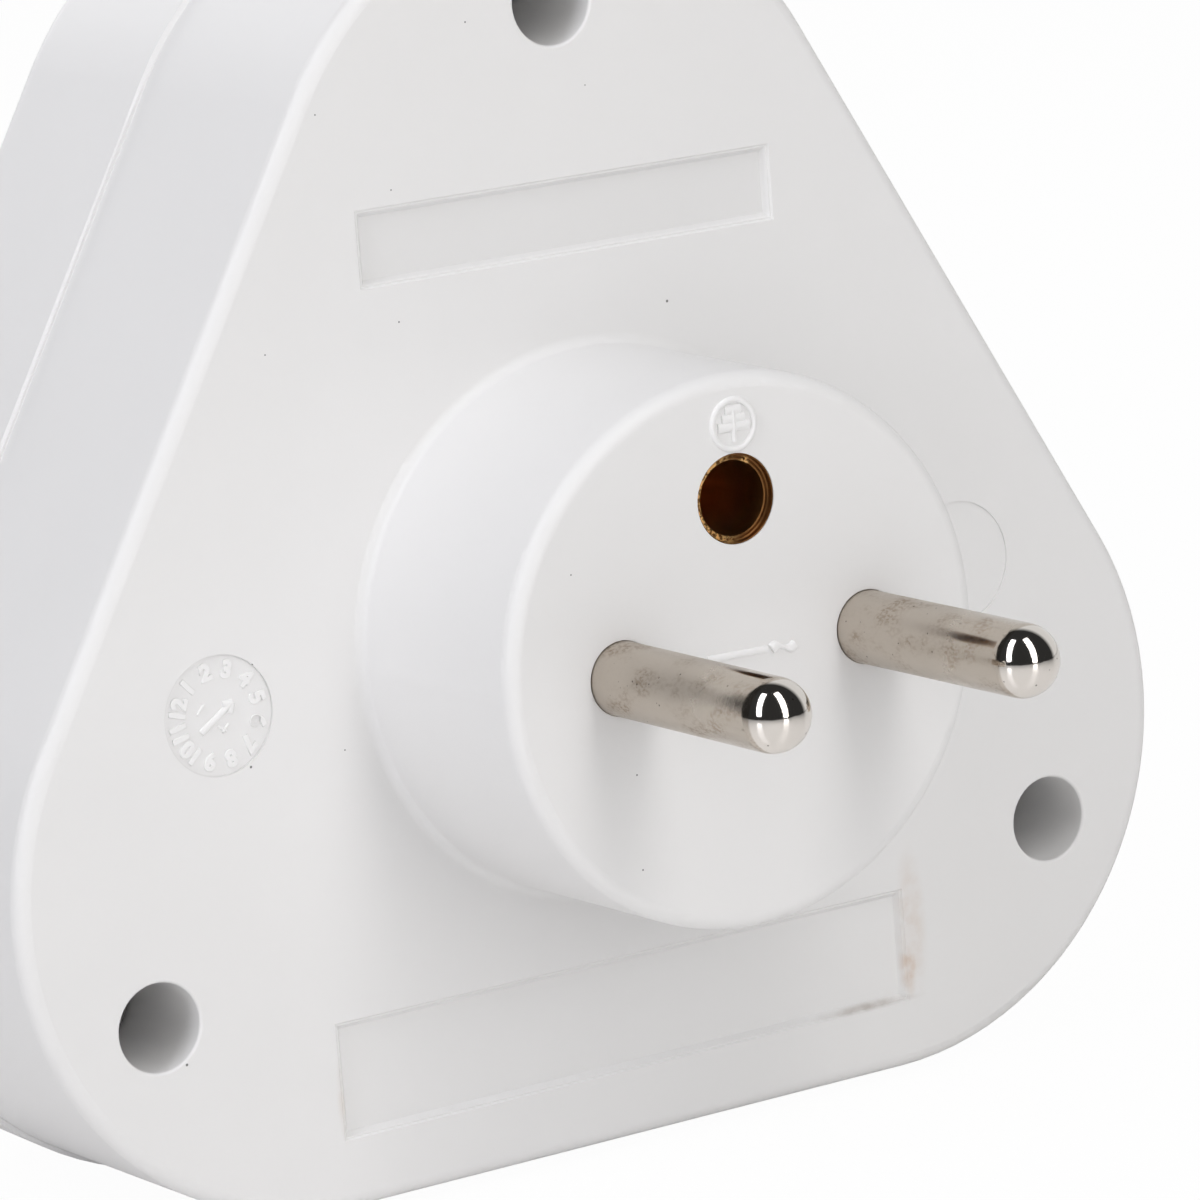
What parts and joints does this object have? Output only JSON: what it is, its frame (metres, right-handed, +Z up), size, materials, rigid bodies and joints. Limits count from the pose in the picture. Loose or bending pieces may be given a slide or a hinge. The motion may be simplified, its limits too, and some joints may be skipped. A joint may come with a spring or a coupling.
{
  "type": "three-way socket adapter",
  "caption": "Rounded triangular mains adapter block: round earthed socket wells in the front face, and a round plug boss with bare pins on the back.",
  "frame": {"origin": "middle of the bottom side: x and y centred on the whole adapter's box, z at the lowest point", "axes": "+Y points out along the plug pins, -Y out of the socket wells, +Z up to the apex, +X to the right seen from the socket side"},
  "size_m": [0.091, 0.0724, 0.085],
  "materials": {
    "white_plastic": "satin white moulded plastic with a little wear",
    "inner_plastic": "natural grey heat-resistant moulding",
    "shutter_plastic": "smooth white sliding plastic",
    "nickel": "nickel-plated brass, polished, with brownish wear",
    "bronze": "tarnished bronze tube",
    "brass": "stamped bare brass",
    "spring_steel": "drawn spring wire",
    "screw_steel": "zinc-plated steel"
  },
  "bodies": {
    "adapter": {"back_cover": "white_plastic", "front_housing": "white_plastic", "contact_carrier": "inner_plastic", "pin_holder": "inner_plastic", "insulating_ring": "inner_plastic", "live_pin": "nickel", "neutral_pin": "nickel", "earth_tube": "bronze", "live_bar": "brass", "neutral_bar": "brass", "earth_bar": "brass", "cover_screws": "screw_steel", "live_clip_1": "brass", "neutral_clip_1": "brass", "socket_earth_pin_1": "nickel", "shutter_spring_1": "spring_steel", "live_clip_2": "brass", "neutral_clip_2": "brass", "socket_earth_pin_2": "nickel", "shutter_spring_2": "spring_steel", "live_clip_3": "brass", "neutral_clip_3": "brass", "socket_earth_pin_3": "nickel", "shutter_spring_3": "spring_steel"},
    "shutter_1": {"shutter_1": "shutter_plastic"},
    "shutter_2": {"shutter_2": "shutter_plastic"},
    "shutter_3": {"shutter_3": "shutter_plastic"}
  },
  "joints": [
    {"name": "shutter_1_slide", "type": "slide", "parent": "adapter", "child": "shutter_1", "axis": [0, 0, 1], "range_m": [0, 0.0062], "stiffness_N_per_m": 300, "springref_m": -0.004, "deforming": ["shutter_spring_1"]},
    {"name": "shutter_2_slide", "type": "slide", "parent": "adapter", "child": "shutter_2", "axis": [-0.866, 0, -0.5], "range_m": [0, 0.0062], "stiffness_N_per_m": 300, "springref_m": -0.004, "deforming": ["shutter_spring_2"]},
    {"name": "shutter_3_slide", "type": "slide", "parent": "adapter", "child": "shutter_3", "axis": [0.866, 0, -0.5], "range_m": [0, 0.0062], "stiffness_N_per_m": 300, "springref_m": -0.004, "deforming": ["shutter_spring_3"]}
  ]
}
